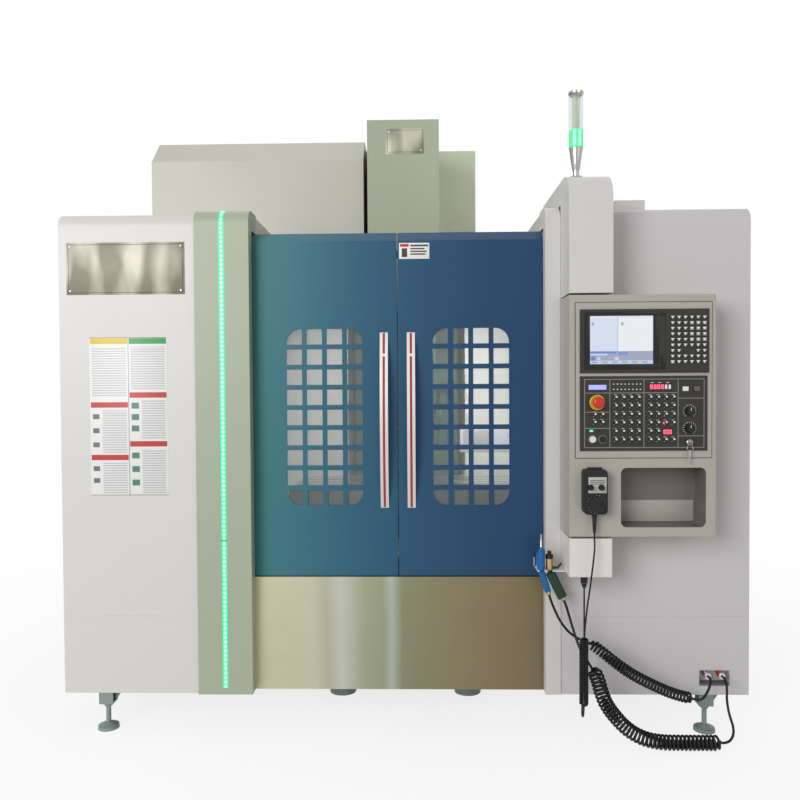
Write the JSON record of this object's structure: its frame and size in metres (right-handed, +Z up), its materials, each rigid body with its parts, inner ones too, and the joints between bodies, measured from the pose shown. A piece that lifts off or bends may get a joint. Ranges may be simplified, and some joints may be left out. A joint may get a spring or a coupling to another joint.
{
  "type": "cnc machining center",
  "caption": "Vertical machining centre in a sheet-metal enclosure with sliding window doors, a swivelling control box, tool magazine hood and a coiled pendant lead.",
  "frame": {"origin": "on the floor under the middle of the machine's box", "axes": "-Y is the front, where the operator stands; +X is to the right; +Z is up"},
  "size_m": [2.52, 2.376, 2.482],
  "materials": {
    "dark_frame": "satin paint",
    "foot_metal": "satin paint",
    "white_paint": "fine textured powder coat",
    "sage_paint": "fine textured powder coat",
    "light_diffuser": "satin diffuser",
    "blue_paint": "fine textured powder coat",
    "stainless": "brushed",
    "handle_steel": "brushed",
    "window_glass": "clear",
    "guard_sheet": "satin",
    "green_casting": "satin paint",
    "ground_iron": "ground",
    "ground_steel": "ground",
    "motor_grey": "satin paint",
    "beige_paint": "fine textured powder coat",
    "black_plastic": "fine texture",
    "red_plastic": "smooth",
    "white_plastic": "smooth",
    "tower_plastic": "smooth",
    "blue_plastic": "smooth",
    "green_plastic": "smooth",
    "cord_rubber": "satin"
  },
  "bodies": {
    "enclosure": {"base_frame": "dark_frame", "levelling_feet": "foot_metal", "left_panel": "white_paint", "right_panel": "white_paint", "light_column": "sage_paint", "light_strip": "light_diffuser", "frame_strip": "white_paint", "apron": "stainless", "door_tracks": "stainless", "left_housing": "white_paint", "right_housing": "white_paint", "rear_wall": "white_paint", "splash_guard": "guard_sheet", "chip_pan": "guard_sheet", "base_casting": "green_casting", "column": "green_casting", "column_cover": "sage_paint", "magazine_hood": "white_paint", "magazine_shaft": "ground_steel", "feed_motors": "motor_grey", "way_cover_1": "guard_sheet", "upper_pillar": "white_paint", "lower_pillar": "white_paint", "pivot_post": "ground_steel", "signal_tower": "tower_plastic", "air_gun": "blue_plastic", "coolant_gun": "green_plastic", "hose_fittings": "ground_steel", "pendant_coil": "cord_rubber", "gun_hoses": "cord_rubber", "hose_coils": "cord_rubber"},
    "left_door_leaf": {"left_door": "blue_paint", "left_pane": "window_glass", "left_handle": "handle_steel"},
    "right_door_leaf": {"right_door": "blue_paint", "right_pane": "window_glass", "right_handle": "handle_steel"},
    "control": {"control_box": "beige_paint", "screen_unit": "black_plastic", "operator_panel": "black_plastic", "pendant": "black_plastic", "pendant_lead": "cord_rubber"},
    "estop_cap": {"estop": "red_plastic"},
    "feed_override": {"feed_knob": "black_plastic"},
    "spindle_override": {"spindle_knob": "black_plastic"},
    "start": {"start_button": "white_plastic"},
    "pulse_wheel": {"hand_wheel": "black_plastic"},
    "axis_selector": {"axis_knob": "black_plastic"},
    "step_selector": {"step_knob": "black_plastic"},
    "cross_slide": {"saddle": "green_casting", "way_cover_5": "guard_sheet"},
    "work_table": {"table": "ground_iron"},
    "cover_2": {"way_cover_2": "guard_sheet"},
    "cover_3": {"way_cover_3": "guard_sheet"},
    "cover_4": {"way_cover_4": "guard_sheet"},
    "head": {"spindle_head": "green_casting", "spindle_motor": "motor_grey", "head_cover": "sage_paint"},
    "spindle_shaft": {"spindle": "ground_steel"},
    "magazine": {"tool_magazine": "ground_steel"}
  },
  "joints": [
    {"name": "left_door_slide", "type": "slide", "parent": "enclosure", "child": "left_door_leaf", "axis": [-1, 0, 0], "range_m": [0, 0.455]},
    {"name": "right_door_slide", "type": "slide", "parent": "enclosure", "child": "right_door_leaf", "axis": [1, 0, 0], "range_m": [0, 0.455]},
    {"name": "control_swivel", "type": "hinge", "parent": "enclosure", "child": "control", "pos_m": [0.61, -1.002, 1.171], "axis": [0, 0, -1], "range_deg": [0, 90]},
    {"name": "estop_press", "type": "slide", "parent": "control", "child": "estop_cap", "axis": [0, 1, 0], "range_m": [0, 0.004]},
    {"name": "feed_turn", "type": "hinge", "parent": "control", "child": "feed_override", "pos_m": [0.985, -1.122, 1.187], "axis": [0, 1, 0], "range_deg": [-140, 140]},
    {"name": "spindle_turn", "type": "hinge", "parent": "control", "child": "spindle_override", "pos_m": [0.985, -1.122, 1.128], "axis": [0, 1, 0], "range_deg": [-100, 100]},
    {"name": "start_press", "type": "slide", "parent": "control", "child": "start", "axis": [0, 1, 0], "range_m": [0, 0.003], "stiffness_N_per_m": 500},
    {"name": "wheel_turn", "type": "hinge", "parent": "control", "child": "pulse_wheel", "pos_m": [0.661, -1.166, 0.874], "axis": [0, 1, 0], "continuous": true},
    {"name": "axis_turn", "type": "hinge", "parent": "control", "child": "axis_selector", "pos_m": [0.64, -1.166, 0.932], "axis": [0, 1, 0], "range_deg": [-60, 60]},
    {"name": "step_turn", "type": "hinge", "parent": "control", "child": "step_selector", "pos_m": [0.676, -1.166, 0.932], "axis": [0, 1, 0], "range_deg": [-45, 45]},
    {"name": "saddle_slide", "type": "slide", "parent": "enclosure", "child": "cross_slide", "axis": [0, 1, 0], "range_m": [-0.25, 0.25]},
    {"name": "cover_2_slide", "type": "slide", "parent": "enclosure", "child": "cover_2", "axis": [0, 1, 0], "range_m": [-0.0625, 0.0625]},
    {"name": "cover_3_slide", "type": "slide", "parent": "enclosure", "child": "cover_3", "axis": [0, 1, 0], "range_m": [-0.125, 0.125]},
    {"name": "cover_4_slide", "type": "slide", "parent": "enclosure", "child": "cover_4", "axis": [0, 1, 0], "range_m": [-0.1875, 0.1875]},
    {"name": "table_slide", "type": "slide", "parent": "cross_slide", "child": "work_table", "axis": [1, 0, 0], "range_m": [-0.4, 0.4]},
    {"name": "head_slide", "type": "slide", "parent": "enclosure", "child": "head", "axis": [0, 0, 1], "range_m": [-0.13, 0.42]},
    {"name": "spindle_spin", "type": "hinge", "parent": "head", "child": "spindle_shaft", "pos_m": [0, -0.222, 1.2], "axis": [0, 0, 1], "continuous": true},
    {"name": "magazine_turn", "type": "hinge", "parent": "enclosure", "child": "magazine", "pos_m": [-0.64, -0.057, 2.135], "axis": [0, 0, 1], "continuous": true}
  ],
  "couplings": [
    {"joint": "cover_2_slide", "follows": "saddle_slide", "ratio": 0.25},
    {"joint": "cover_3_slide", "follows": "saddle_slide", "ratio": 0.5},
    {"joint": "cover_4_slide", "follows": "saddle_slide", "ratio": 0.75}
  ]
}
